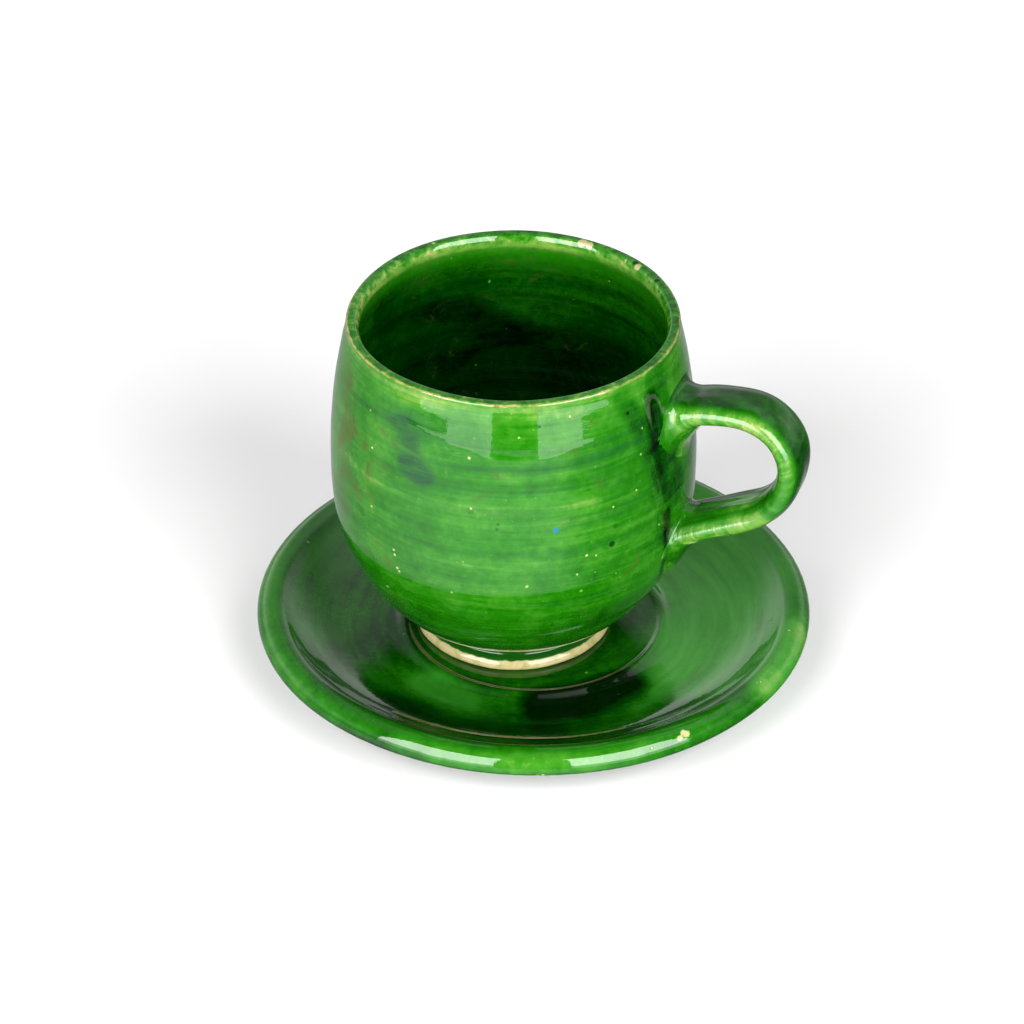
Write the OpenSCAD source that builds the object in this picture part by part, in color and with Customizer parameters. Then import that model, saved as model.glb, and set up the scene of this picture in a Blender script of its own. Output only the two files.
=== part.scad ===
// Hand-thrown cup with a pulled strap handle, standing in the well of its saucer.
// Origin: the saucer's axis on the table plane. +Z is up and the handle points along +X.
// Each outline is half a section, [radius, height], turned about its own axis.

/* [Cup] */
// Height of the cup from its foot to its lip
cup_h = 96; // [89:1:104]
// Width across the widest part of the belly
belly_d = 97; // [94:1:102]
// Height of the widest part of the belly
belly_z = 53; // [50:1:57]
// Height under which the belly curve tightens towards the foot
turn_z = 44; // [40:1:47]
// Outer width at the lip
lip_d = 87.3; // [80:0.1:90]
// Thickness of the rounded lip
lip_t = 3.5; // [2.5:0.1:4.5]
// Wall thickness where the belly curve tightens
wall_t = 4.6; // [3.6:0.1:5.4]
// Height of the inside floor
floor_z = 10.5; // [9:0.5:13]
// Radius of the inside floor
floor_r = 24; // [20:0.5:27]
// How far the middle of the inside floor dips
floor_dip = 0.8; // [0.4:0.1:1.5]

/* [Cup foot] */
// Height of the turned foot ring
foot_h = 4.8; // [4.2:0.1:6]
// Width across the foot ring
foot_d = 53.6; // [52:0.1:55]
// Width of the neck between the foot ring and the belly
neck_d = 49.4; // [48:0.1:51]
// Width of the hollow inside the foot ring
foot_hollow_d = 42; // [36:0.5:44]
// Rounding of the foot ring's two bottom edges
foot_round = 1; // [0.5:0.1:1.4]

/* [Handle] */
// Width of the strap where it leaves the cup at the top
strap_w = 16; // [14:0.1:17]
// Width of the strap where it comes back to the cup
strap_end_w = 18; // [15:0.1:18.5]
// Thickness of the strap
strap_t = 7; // [6:0.1:7.4]
// Distance from the cup's axis to the middle of the strap at its outermost
reach = 77.8; // [76:0.1:78.4]
// Height of that outermost point
reach_z = 66.8; // [65.4:0.1:68]
// Radius of the upper outer bend
upper_bend_r = 13.9; // [12.5:0.1:15]
// Radius of the lower outer bend
lower_bend_r = 19.2; // [17.5:0.1:20.5]
// Radius of the gentle arch of the upper arm
arm_arch_r = 47; // [44:1:60]
// Downward slope of the lower arm towards the cup, in degrees
lower_slope = 24; // [20:1:28]
// Thickness of the two clay pads that join the strap to the cup
pad_t = 2; // [1.5:0.1:2.6]
// How far the upper pad stands out from the strap all round
pad_margin = 2; // [1.6:0.1:3]
// Height of the tip of the tail on the cup wall
tail_tip_z = 25; // [22:1:30]
// Width of the tip of the tail
tail_tip_w = 7; // [5:0.5:9]

/* [Saucer] */
// Outer width of the saucer
saucer_d = 150; // [148:1:160]
// Height of the well floor on which the cup stands
well_z = 10; // [9.5:0.1:12]
// Radius of the crest of the ridge round the well
ridge_r = 34.7; // [34.2:0.1:37]
// Height of that low crest above the well floor
ridge_h = 0.9; // [0.6:0.1:1.2]
// Width of the ridge
ridge_w = 4; // [3:0.1:4.2]
// Height of the dish floor outside the ridge
dish_z = 9.5; // [9:0.1:10.4]
// Rounding of the fat rolled rim's upper half
roll_r = 4.6; // [4.2:0.1:5]
// Rounding of the rolled rim's tighter lower edge
roll_edge_r = 1.8; // [1.4:0.1:3]
// Height of the rolled rim's widest point
roll_z = 13.7; // [13:0.1:14.2]
// Radius of the hollow curve from the dish floor to the rim
flank_r = 26; // [22:0.5:28]
// Radius at which the rolled rim was folded onto the dish
fold_r = 61; // [60:0.5:62]
// Height of the saucer's foot ring
base_h = 5; // [4.6:0.1:5.4]
// Outer width of the saucer's foot ring
base_d = 92; // [86:1:96]
// Inner width of the saucer's foot ring
base_hollow_d = 80; // [74:1:82]
// How far the cup stands off the saucer's centre, away from its handle
cup_offset = 5.6; // [5.1:0.1:5.9]

/* [Hidden] */
$fn = 96;

glaze_green = [0.14, 0.5, 0.16];
dark_glaze = [0.05, 0.34, 0.08];
clay_cream = [0.78, 0.74, 0.5];

// Points on an arc about c, from angle a0 to angle a1
function arc(c, r, a0, a1, n) =
    [for (i = [0 : n]) let (a = a0 + (a1 - a0) * i / n) c + r * [cos(a), sin(a)]];

// Radius of the arc that leaves p square to the outward normal n and passes through q
function radius_through(p, n, q) = (q - p) * (q - p) / (-2 * (q - p) * n);

// Angle at which point p lies as seen from c
function angle_at(c, p) = atan2(p[1] - c[1], p[0] - c[0]);

// The arc that leaves p square to the normal n and ends at q
function arc_from(p, n, q, steps) =
    let (r = radius_through(p, n, q), c = p - r * n)
    arc(c, r, angle_at(c, p), angle_at(c, q), steps);

lip_r = lip_t / 2;
lip_c = [lip_d / 2 - lip_r, cup_h - lip_r];
belly = [belly_d / 2, belly_z];
lip_out = [lip_d / 2, cup_h - lip_r];
upper_r = radius_through(belly, [1, 0], lip_out);
turn_a = -asin((belly_z - turn_z) / upper_r);
turn_n = [cos(turn_a), sin(turn_a)];
turn = belly - [upper_r, 0] + upper_r * turn_n;
neck = [neck_d / 2, foot_h];
turn_in = turn - wall_t * turn_n;
lip_in = [lip_d / 2 - lip_t, cup_h - lip_r];
floor_edge = [floor_r, floor_z];
floor_mid = [0, floor_z - floor_dip];

// Outer outline of the belly from the lip down to the neck, moved outwards by grow
function belly_outline(grow) = concat(
    arc(belly - [upper_r, 0], upper_r + grow, angle_at(belly - [upper_r, 0], lip_out), turn_a, 14),
    [for (i = [1 : 12]) let (
        r = radius_through(turn, turn_n, neck),
        c = turn - r * turn_n,
        a = turn_a + (angle_at(c, neck) - turn_a) * i / 12)
        c + (r + grow) * [cos(a), sin(a)]]);

// Inside outline from the lip down to the middle of the floor
inside_outline = concat(
    [for (i = [12 : -1 : 1]) arc_from(turn_in, turn_n, lip_in, 12)[i]],
    arc_from(turn_in, turn_n, floor_edge, 12),
    [for (i = [7 : -1 : 0]) arc_from(floor_mid, [0, -1], floor_edge, 8)[i]]);

// Centre line of the strap from the upper root round to the lower one, as seen from the side.
// Each bend is [centre, radius, first angle, last angle, steps], with angles falling along the way.
upper_bend_c = [reach - upper_bend_r, reach_z];
lower_bend_c = [reach - lower_bend_r, reach_z];
arm_c = upper_bend_c + [0, upper_bend_r - arm_arch_r];
lower_turn = 90 - lower_slope;
bends = [
    [arm_c, arm_arch_r, 108, 90, 6],
    [upper_bend_c, upper_bend_r, 90, 0, 10],
    [lower_bend_c, lower_bend_r, 0, -lower_turn, 8]];
lower_arm = lower_bend_c + lower_bend_r * [cos(lower_turn), -sin(lower_turn)];
lower_dir = [-cos(lower_slope), -sin(lower_slope)];
lower_arm_l = (lower_arm[0] - belly_d / 2 + wall_t) / cos(lower_slope);
upper_root_z = arm_c[1] + sqrt(arm_arch_r ^ 2 - (arm_c[0] - belly_d / 2) ^ 2);
lower_root_z = lower_arm[1] - (lower_arm[0] - belly_d / 2) * tan(lower_slope);

// Stations along the strap: [place, outward direction]
stations = concat(
    [for (b = bends) for (i = [0 : b[4] - 1])
        let (a = b[2] + (b[3] - b[2]) * i / b[4], out = [cos(a), sin(a)]) [b[0] + b[1] * out, out]],
    [for (i = [0 : 4]) [lower_arm + lower_dir * lower_arm_l * i / 4,
        [cos(lower_turn), -sin(lower_turn)]]]);
section_sides = 20;

// The strap's section at station i: a flat bar with fully rounded edges
function strap_ring(i) =
    let (w = strap_w + (strap_end_w - strap_w) * i / (len(stations) - 1),
        place = stations[i][0], out = stations[i][1])
    [for (j = [0 : section_sides - 1]) let (
        a = 360 * (j + 0.5) / section_sides,
        side = strap_t / 2 * sin(a) + sign(sin(a)) * (w - strap_t) / 2,
        p = place + out * strap_t / 2 * cos(a))
        [p[0], side, p[1]]];

roll_c = [saucer_d / 2 - roll_r, roll_z];
roll_edge_c = [saucer_d / 2 - roll_edge_r, roll_z];
// The flank is a hollow arc that touches the dish floor and the rolled rim
flank_c = let (z = dish_z + flank_r)
    [roll_c[0] - sqrt((flank_r + roll_r) ^ 2 - (z - roll_z) ^ 2), z];
fold_a = -acos((fold_r - flank_c[0]) / flank_r);
fold_top = flank_c + flank_r * [cos(fold_a), sin(fold_a)];
meet_a = angle_at(flank_c, roll_c);
// The underside rises in a straight line from the foot ring to the rim
under_a = -110;
under_end = roll_edge_c + roll_edge_r * [cos(under_a), sin(under_a)];
fold_under = base_h + (under_end[1] - base_h) * (fold_r - base_d / 2) / (under_end[0] - base_d / 2);

// The ridge is a flat arch that stands on the level of the well floor
ridge_bend_r = (ridge_w ^ 2 / 4 + ridge_h ^ 2) / (2 * ridge_h);
ridge_c = [ridge_r, well_z + ridge_h - ridge_bend_r];
ridge_a = acos(ridge_w / 2 / ridge_bend_r);

module turned(outline) rotate_extrude() polygon(outline);

module on_saucer() translate([-cup_offset, 0, well_z]) children();

// The cup's outside filled solid, moved outwards by grow
module cup_solid(grow = 0) turned(concat([[0, cup_h - lip_r]], belly_outline(grow), [[0, foot_h]]));

// The strap, running a little way into the cup's wall at both ends
module whole_strap() {
    n = len(stations);
    m = section_sides;
    polyhedron(
        points = [for (i = [0 : n - 1]) each strap_ring(i)],
        faces = concat(
            [[for (j = [m - 1 : -1 : 0]) j]],
            [for (i = [0 : n - 2]) for (j = [0 : m - 1])
                [i * m + j, i * m + (j + 1) % m, (i + 1) * m + (j + 1) % m, (i + 1) * m + j]],
            [[for (j = [0 : m - 1]) (n - 1) * m + j]]));
}

// A pad of clay on the cup's wall, inside an outline drawn in [across, height]
module wall_pad()
    difference() {
        intersection() {
            cup_solid(pad_t);
            rotate([90, 0, 90]) linear_extrude(belly_d) children();
        }
        cup_solid();
    }

module cup_body() color(glaze_green) on_saucer()
    turned(concat(
        belly_outline(0),
        [[0, foot_h], floor_mid],
        [for (i = [len(inside_outline) - 2 : -1 : 0]) inside_outline[i]],
        [for (i = [1 : 9]) arc(lip_c, lip_r, 180, 0, 10)[i]]));

module cup_foot_ring() color(clay_cream) on_saucer()
    turned(concat(
        [neck, [foot_hollow_d / 2, foot_h]],
        arc([foot_hollow_d / 2 + foot_round, foot_round], foot_round, 180, 270, 4),
        arc([foot_d / 2 - foot_round, foot_round], foot_round, 270, 360, 4)));

module handle_strap() color(glaze_green) on_saucer()
    difference() {
        whole_strap();
        cup_solid(pad_t);
    }

module handle_upper_pad() color(dark_glaze) on_saucer()
    wall_pad() translate([0, upper_root_z]) {
        end_r = strap_t / 2 + pad_margin;
        square([strap_w - strap_t, 2 * end_r], center = true);
        for (side = [-1, 1])
            translate([side * (strap_w - strap_t) / 2, 0]) circle(end_r);
    }

module handle_lower_tail() color(glaze_green) on_saucer()
    wall_pad() {
        tip_c = tail_tip_z + tail_tip_w / 2;
        root_w = strap_end_w + 2;
        translate([0, lower_root_z]) circle(d = root_w);
        translate([0, tip_c]) circle(d = tail_tip_w);
        polygon([
            [-root_w / 2, lower_root_z], [-tail_tip_w / 2, tip_c],
            [tail_tip_w / 2, tip_c], [root_w / 2, lower_root_z]]);
    }

module saucer_dish() color(dark_glaze)
    turned(concat(
        [[0, base_h], [base_d / 2, base_h], [fold_r, fold_under]],
        arc(flank_c, flank_r, fold_a, -90, 6),
        [[ridge_r + ridge_w / 2 + 2, dish_z]],
        arc(ridge_c, ridge_bend_r, ridge_a, 180 - ridge_a, 10),
        [[0, well_z]]));

module saucer_rim_roll() color(glaze_green)
    turned(concat(
        [[fold_r, fold_under]],
        arc(roll_edge_c, roll_edge_r, under_a, 0, 8),
        [for (i = [1 : 18]) arc(roll_c, roll_r, 0, meet_a + 180, 18)[i]],
        [for (i = [1 : 6]) arc(flank_c, flank_r, meet_a, fold_a, 6)[i]]));

module saucer_foot_ring() color(clay_cream)
    turned(concat(
        [[base_d / 2, base_h], [base_hollow_d / 2, base_h]],
        arc([base_hollow_d / 2 + foot_round, foot_round], foot_round, 180, 270, 4),
        arc([base_d / 2 - foot_round, foot_round], foot_round, 270, 360, 4)));

saucer_dish();
saucer_rim_roll();
saucer_foot_ring();
cup_body();
cup_foot_ring();
handle_strap();
handle_upper_pad();
handle_lower_tail();
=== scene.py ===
import math

import bpy
import numpy as np
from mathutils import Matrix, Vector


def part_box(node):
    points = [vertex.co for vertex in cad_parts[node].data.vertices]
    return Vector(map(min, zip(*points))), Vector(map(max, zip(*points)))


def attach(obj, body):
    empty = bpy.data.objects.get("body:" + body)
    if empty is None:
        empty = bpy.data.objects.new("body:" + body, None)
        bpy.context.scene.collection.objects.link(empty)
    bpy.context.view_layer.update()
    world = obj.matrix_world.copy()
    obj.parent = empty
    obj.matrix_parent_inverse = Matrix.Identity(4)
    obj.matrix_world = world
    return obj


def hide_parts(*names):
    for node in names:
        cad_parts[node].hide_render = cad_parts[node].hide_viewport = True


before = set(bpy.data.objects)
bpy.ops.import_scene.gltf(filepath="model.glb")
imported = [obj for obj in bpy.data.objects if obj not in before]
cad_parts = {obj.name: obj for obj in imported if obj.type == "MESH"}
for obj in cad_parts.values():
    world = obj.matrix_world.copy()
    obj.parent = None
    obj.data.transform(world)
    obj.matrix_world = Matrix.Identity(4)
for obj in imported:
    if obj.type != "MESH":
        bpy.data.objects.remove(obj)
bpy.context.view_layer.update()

# A green-glazed, hand-thrown cup on its saucer. Shapes are worked out in millimetres and turned into
# metres when a mesh is made. Angles are in degrees, anticlockwise from +X seen from above, and a turn
# is the same in radians.

MM = 0.001


# -------- sizes

def box_mm(node):
    """Lowest and highest corner of a CAD node, in millimetres."""
    lo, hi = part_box(node)
    return np.array(lo) / MM, np.array(hi) / MM


BODY_LO, BODY_HI = box_mm("cup_body")
FOOT_LO, FOOT_HI = box_mm("cup_foot_ring")
STRAP_HI = box_mm("handle_strap")[1]
TAIL_LO = box_mm("handle_lower_tail")[0]
ROLL_LO, ROLL_HI = box_mm("saucer_rim_roll")
RING_LO, RING_HI = box_mm("saucer_foot_ring")

# The cup's heights are counted from the well floor it stands on, its radii from its own axis
CUP_X = (FOOT_LO[0] + FOOT_HI[0]) / 2
CUP_Z = FOOT_LO[2]
CUP_H = BODY_HI[2] - CUP_Z
FOOT_H = FOOT_HI[2] - CUP_Z
FOOT_R = (FOOT_HI[1] - FOOT_LO[1]) / 2
FOOT_HOLLOW_R = 21.0
NECK_R = 24.7  # groove between foot and wall
BELLY_R = (BODY_HI[1] - BODY_LO[1]) / 2
BELLY_Z = 53.0
TURN_Z = 44.0  # where the wall's upper arc meets its lower one
LIP_R = 43.65
LIP_T = 3.5
WALL_T = 4.6
FLOOR_R = 24.0
FLOOR_Z = 10.5
FLOOR_DIP = 0.8

# The saucer's heights are counted from the table
SAUCER_R = (ROLL_HI[0] - ROLL_LO[0]) / 2
ROLL_R = 4.6  # upper round of the rolled rim
ROLL_EDGE_R = 1.8  # lower round of its outer edge
ROLL_Z = 13.7
FLANK_R = 34.0  # arc from the dish's floor up to the roll
DISH_Z = 9.5
RIDGE_R = 34.7  # low ridge round the well
RIDGE_H = 0.8
BASE_H = RING_HI[2]
BASE_R = (RING_HI[0] - RING_LO[0]) / 2
BASE_HOLLOW_R = 40.0

STRAP_W = 16.0
STRAP_END_W = 18.0
STRAP_T = 7.0
REACH = STRAP_HI[0] - CUP_X - STRAP_T / 2  # centre line's furthest point from the cup's axis
REACH_Z = 66.8
UPPER_BEND_R = 13.9
LOWER_BEND_R = 19.2
ARM_ARCH_R = 47.0  # upper arm, from the wall to the upper bend
LOWER_SLOPE = 24.0  # fall of the lower arm towards the wall, in degrees
PAD_Z = 77.0  # middle of the upper luting
TAIL_Z = 39.0  # widest part of the tongue
TAIL_TIP_Z = TAIL_LO[2] - CUP_Z


# -------- curves

def unit(angle):
    """Step of length 1 in a direction."""
    a = math.radians(angle)
    return np.array([math.cos(a), math.sin(a)])


def angle_at(c, p):
    """Direction of p seen from c."""
    return math.degrees(math.atan2(p[1] - c[1], p[0] - c[0]))


def arc(c, r, a0, a1, steps):
    """Points on an arc about c between two angles, both ends included."""
    a = np.radians(np.linspace(a0, a1, steps + 1))
    return np.stack([c[0] + r * np.cos(a), c[1] + r * np.sin(a)], 1)


def arc_centre(p, n, q):
    """Centre and radius of the arc that leaves p square to the normal n and passes through q."""
    d = q - p
    r = d @ d / (-2 * (d @ n))
    return p - r * n, r


def smoothstep(x, lo, hi):
    t = np.clip((x - lo) / (hi - lo), 0, 1)
    return t * t * (3 - 2 * t)


def distance_along(points):
    return np.r_[0, np.cumsum(np.linalg.norm(np.diff(points, axis=0), axis=1))]


def even(points, count):
    """The same open curve with its points at even spacing."""
    along = distance_along(points)
    at = np.linspace(0, along[-1], count)
    return np.stack([np.interp(at, along, column) for column in points.T], 1)


def softened(points, passes):
    """An open curve with its bends eased; the ends stay."""
    p = points.copy()
    for _ in range(passes):
        p[1:-1] = 0.5 * p[1:-1] + 0.25 * (p[:-2] + p[2:])
    return p


# Corners and arc centres of the cup's section, as [radius, height]
BELLY = np.array([BELLY_R, BELLY_Z])
LIP_OUT = np.array([LIP_R, CUP_H - LIP_T / 2])
LIP_IN = np.array([LIP_R - LIP_T, CUP_H - LIP_T / 2])
UPPER_C, UPPER_R = arc_centre(BELLY, unit(0), LIP_OUT)
TURN_A = -math.degrees(math.asin((BELLY_Z - TURN_Z) / UPPER_R))
TURN_OUT = UPPER_C + UPPER_R * unit(TURN_A)
TURN_IN = TURN_OUT - WALL_T * unit(TURN_A)
NECK = np.array([NECK_R, FOOT_H])
LOWER_C, LOWER_R = arc_centre(TURN_OUT, unit(TURN_A), NECK)
INNER_C, INNER_R = arc_centre(TURN_IN, unit(TURN_A), LIP_IN)
FLOOR_EDGE = np.array([FLOOR_R, FLOOR_Z])
BOWL_C, BOWL_R = arc_centre(TURN_IN, unit(TURN_A), FLOOR_EDGE)
FLOOR_MID = np.array([0.0, FLOOR_Z - FLOOR_DIP])
FLOOR_C, FLOOR_BEND = arc_centre(FLOOR_MID, unit(-90), FLOOR_EDGE)


def wall_radius(z):
    """Radius of the cup's outer wall at a height above its foot."""
    upper = UPPER_C[0] + np.sqrt(np.maximum(UPPER_R ** 2 - (z - UPPER_C[1]) ** 2, 0))
    lower = LOWER_C[0] + np.sqrt(np.maximum(LOWER_R ** 2 - (z - LOWER_C[1]) ** 2, 0))
    return np.where(z > TURN_OUT[1], upper, lower)


# -------- the hand's marks

# Throwing ridges: height mm, spacing mm, phase
OUTER_WAVES = [(0.018, 13.7, 1.1), (0.006, 8.3, 0.4), (0.002, 4.6, 2.0)]
INNER_WAVES = [(0.3, 9.6, 0.0), (0.14, 6.1, 1.7), (0.08, 3.7, 0.9)]
DISH_WAVES = [(0.022, 6.4, 0.2), (0.01, 4.3, 1.4)]

# Proud lines and one dent on the outer wall: a path of [angle, height], half width mm, rise mm
DRIPS = [
    ([(-23.5, 92), (-22, 84), (-19.5, 77)], 1.5, 0.22),
    ([(-24, 80), (-21.5, 72), (-17.5, 62), (-13.8, 52), (-12.5, 46)], 1.7, 0.26),
    ([(-84, 71.7), (-70, 71.3), (-54, 71.8), (-40, 73.0)], 1.2, 0.05),
    ([(-108, 86.0), (-101, 84.8), (-92.8, 84.2), (-84.6, 83.2), (-78, 80.9), (-68, 80.0),
      (-57, 80.9), (-49.4, 82.8), (-42.7, 82.6)], 0.9, 0.075),
    ([(-104, 57.0), (-88, 56.4)], 1.2, 0.03),
    ([(-18.5, 85), (-17.0, 75)], 2.8, -0.65),
]


def ripple(z, turn, waves):
    """Sum of throwing ridges, each climbing by one spacing a turn."""
    total = np.zeros_like(z)
    for size, spacing, phase in waves:
        total += size * np.sin(2 * math.pi * z / spacing - turn + phase)
    return total


def out_of_round(turn, z):
    """How far the cup's rim and wall stray from a true circle: nothing at the foot, most at the lip."""
    grow = smoothstep(z, 10, CUP_H)
    return grow * (0.3 * np.cos(2 * (turn - 0.5)) + 0.22 * np.cos(3 * turn + 1.3)
                   + 0.1 * np.cos(5 * turn))


def lip_sway(turn, z):
    """Up and down waver of the cup's lip, never above the trued height."""
    wave = 0.16 * np.cos(2 * turn + 1.0) + 0.1 * np.cos(3 * turn - 0.6) + 0.06 * np.cos(7 * turn)
    return smoothstep(z, 60, CUP_H) * (wave - 0.3)


def path_distance(x, y, path):
    """Distance in mm from points to a broken line."""
    best = np.full(np.shape(y), 1e9)
    for (x0, y0), (x1, y1) in zip(path[:-1], path[1:]):
        dx, dy = x1 - x0, y1 - y0
        k = np.clip(((x - x0) * dx + (y - y0) * dy) / (dx * dx + dy * dy), 0, 1)
        best = np.minimum(best, np.hypot(x - x0 - k * dx, y - y0 - k * dy))
    return best


def on_wall(path):
    """A path of [angle, height] unrolled to [mm round the belly, height]."""
    return [(BELLY_R * math.radians(angle), height) for angle, height in path]


def drips(turn, z):
    """Sum of the proud lines, at turns from -pi to pi."""
    total = np.zeros_like(z)
    for path, half_width, rise in DRIPS:
        away = path_distance(BELLY_R * turn, z, on_wall(path)) / half_width
        total += rise * np.exp(-away ** 2 * 1.6)
    return total


def outer_marks(turn, z):
    """Outward shift of the cup's outer skin."""
    fade = smoothstep(z, FOOT_H, FOOT_H + 5) * (1 - smoothstep(z, CUP_H - 6, CUP_H - 2))
    signed = np.mod(turn + math.pi, 2 * math.pi) - math.pi
    return fade * (ripple(z, turn, OUTER_WAVES) + drips(signed, z)) + out_of_round(turn, z)


def skin_point(angle, z):
    """A point on the cup's outer skin in metres, at an angle and a height above the foot."""
    turn = math.radians(angle)
    z = np.array(float(z))
    r = wall_radius(z) + outer_marks(turn, z)
    x, y = CUP_X + r * math.cos(turn), r * math.sin(turn)
    return (float(x) * MM, float(y) * MM, float(CUP_Z + z + lip_sway(turn, z)) * MM)


# -------- mesh making

def add_object(name, data):
    obj = bpy.data.objects.new(name, data)
    bpy.context.scene.collection.objects.link(obj)
    return obj


def make_piece(name, points, faces, body, nodes, material, marks=None):
    """A smooth mesh that rides on a body and stands for CAD nodes. marks are named point values."""
    mesh = bpy.data.meshes.new(name)
    mesh.from_pydata((points * MM).tolist(), [], faces)
    mesh.validate()
    mesh.shade_smooth()
    for key, values in (marks or {}).items():
        layer = mesh.attributes.new(key, "FLOAT", "POINT")
        layer.data.foreach_set("value", np.asarray(values, dtype=np.float32))
    mesh.materials.append(material)
    obj = add_object(name, mesh)
    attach(obj, body)
    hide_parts(*nodes)


def turned(profile, steps, shift):
    """Each profile point taken round the axis. shift(turn, r, z) gives [radial, upward] shifts."""
    turn = np.arange(steps) * 2 * math.pi / steps
    rr, tt = np.meshgrid(profile[:, 0], turn, indexing="ij")
    zz = np.meshgrid(profile[:, 1], turn, indexing="ij")[0]
    dr, dz = shift(tt, rr, zz)
    r = rr + dr
    return np.stack([r * np.cos(tt), r * np.sin(tt), zz + dz], -1).reshape(-1, 3)


def belt(a, b, steps):
    """Faces between two rings of points, whose first points are a and b."""
    return [(a + j, a + (j + 1) % steps, b + (j + 1) % steps, b + j) for j in range(steps)]


def lathe(profile, steps, shift):
    """Turns a profile whose two ends lie on the axis."""
    n = len(profile) - 2
    ends = [[0, 0, profile[0, 1]], [0, 0, profile[-1, 1]]]
    points = np.vstack([turned(profile[1:-1], steps, shift), ends])
    faces = [face for i in range(n - 1) for face in belt(i * steps, (i + 1) * steps, steps)]
    last = (n - 1) * steps
    faces += [(n * steps, (j + 1) % steps, j) for j in range(steps)]
    faces += [(n * steps + 1, last + j, last + (j + 1) % steps) for j in range(steps)]
    return points, faces


def lathed_values(values, steps):
    """One value for each profile point as one for each point that lathe makes."""
    return np.r_[np.repeat(values[1:-1], steps), values[0], values[-1]]


def closed_ring(profile, steps, shift):
    """Turns a closed profile that stays clear of the axis."""
    n = len(profile)
    faces = [face for i in range(n) for face in belt(i * steps, (i + 1) % n * steps, steps)]
    return turned(profile, steps, shift), faces


def tube(rings):
    """Skins a stack of equal rings and closes both ends with a fan."""
    n, m = rings.shape[:2]
    points = np.vstack([rings.reshape(-1, 3), rings[0].mean(0)[None], rings[-1].mean(0)[None]])
    faces = []
    for i in range(n - 1):
        a, b = i * m, (i + 1) * m
        faces += [(a + j, b + j, b + (j + 1) % m, a + (j + 1) % m) for j in range(m)]
    faces += [(n * m, j, (j + 1) % m) for j in range(m)]
    faces += [(n * m + 1, (n - 1) * m + (j + 1) % m, (n - 1) * m + j) for j in range(m)]
    return points, faces


def on_cup(points):
    """Moves points made about the cup's own axis to its place on the saucer."""
    return points + np.array([CUP_X, 0, CUP_Z])


# -------- cup body and foot

CUP_STEPS = 380
FOOT_STEPS = 260
ARC_STEPS = 60
OUTER_POINTS = 118
INNER_POINTS = 84
LIP_OUTER_R = 0.8
LIP_FLAT = 1.3
LIP_INNER_TALL = 3.2  # height of the lip's inner quarter ellipse


def cup_profile():
    """Half section of the cup from under its floor, up outside, over the lip and down inside. Also
    gives the row of the lip's crest, where the inside starts."""
    under = np.array([[r, FOOT_H] for r in (0.0, 8.0, 16.0, NECK_R - 1.2)])
    lower = arc(LOWER_C, LOWER_R, angle_at(LOWER_C, NECK), TURN_A, ARC_STEPS)
    upper = arc(UPPER_C, UPPER_R, TURN_A, angle_at(UPPER_C, LIP_OUT), ARC_STEPS)
    wall = np.vstack([lower, upper[1:]])
    outer = even(wall[wall[:, 1] < CUP_H - LIP_OUTER_R], OUTER_POINTS)
    corner = arc((LIP_R - LIP_OUTER_R, CUP_H - LIP_OUTER_R), LIP_OUTER_R, 10, 90, 9)
    flat_end = LIP_R - LIP_OUTER_R - LIP_FLAT
    phi = np.radians(np.linspace(90, 180, 17))
    roll_in = np.stack([flat_end + (LIP_T - LIP_OUTER_R - LIP_FLAT) * np.cos(phi),
                        CUP_H - LIP_INNER_TALL + LIP_INNER_TALL * np.sin(phi)], 1)
    flat = even(np.array([corner[-1], roll_in[0]]), 7)[1:-1]
    wall_in = arc(INNER_C, INNER_R, angle_at(INNER_C, LIP_IN), TURN_A, ARC_STEPS)
    inner = np.vstack([
        wall_in[wall_in[:, 1] < CUP_H - LIP_INNER_TALL - 0.8],
        arc(BOWL_C, BOWL_R, TURN_A, angle_at(BOWL_C, FLOOR_EDGE), ARC_STEPS)[1:],
        arc(FLOOR_C, FLOOR_BEND, angle_at(FLOOR_C, FLOOR_EDGE), -90, 24)[1:]])
    inner = softened(even(inner, INNER_POINTS), 6)
    inner[-1] = FLOOR_MID
    crest = len(under) + len(outer) + len(corner)
    return np.vstack([under, outer, corner, flat, roll_in, inner]), crest


def cup_shift(turn, z, outside):
    """Radial and upward waver of the cup's profile."""
    fade = smoothstep(z, 13, 22) * (1 - smoothstep(z, CUP_H - 9, CUP_H - 3))
    inner_marks = fade * ripple(z, turn, INNER_WAVES) + out_of_round(turn, z)
    radial = np.where(outside, outer_marks(turn, z), inner_marks)
    return np.where(z > FOOT_H + 0.01, radial, 0.0), lip_sway(turn, z)


def cup_body(material):
    profile, crest = cup_profile()
    rows = np.arange(len(profile)) < crest
    points, faces = lathe(profile, CUP_STEPS,
                          lambda turn, r, z: cup_shift(turn, z, rows[1:-1, None]))
    outside = lathed_values(rows, CUP_STEPS)
    marks = {key: np.where(outside, values, 0.0) for key, values in wall_paint(points).items()}
    marks["thin"] += np.where(outside, 0.0, inner_paint(points))
    along = distance_along(profile)
    marks["lip_mm"] = lathed_values(along - along[crest], CUP_STEPS)
    make_piece("cup_body_glazed", on_cup(points), faces, "cup", ["cup_body"],
               material, marks)


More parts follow.
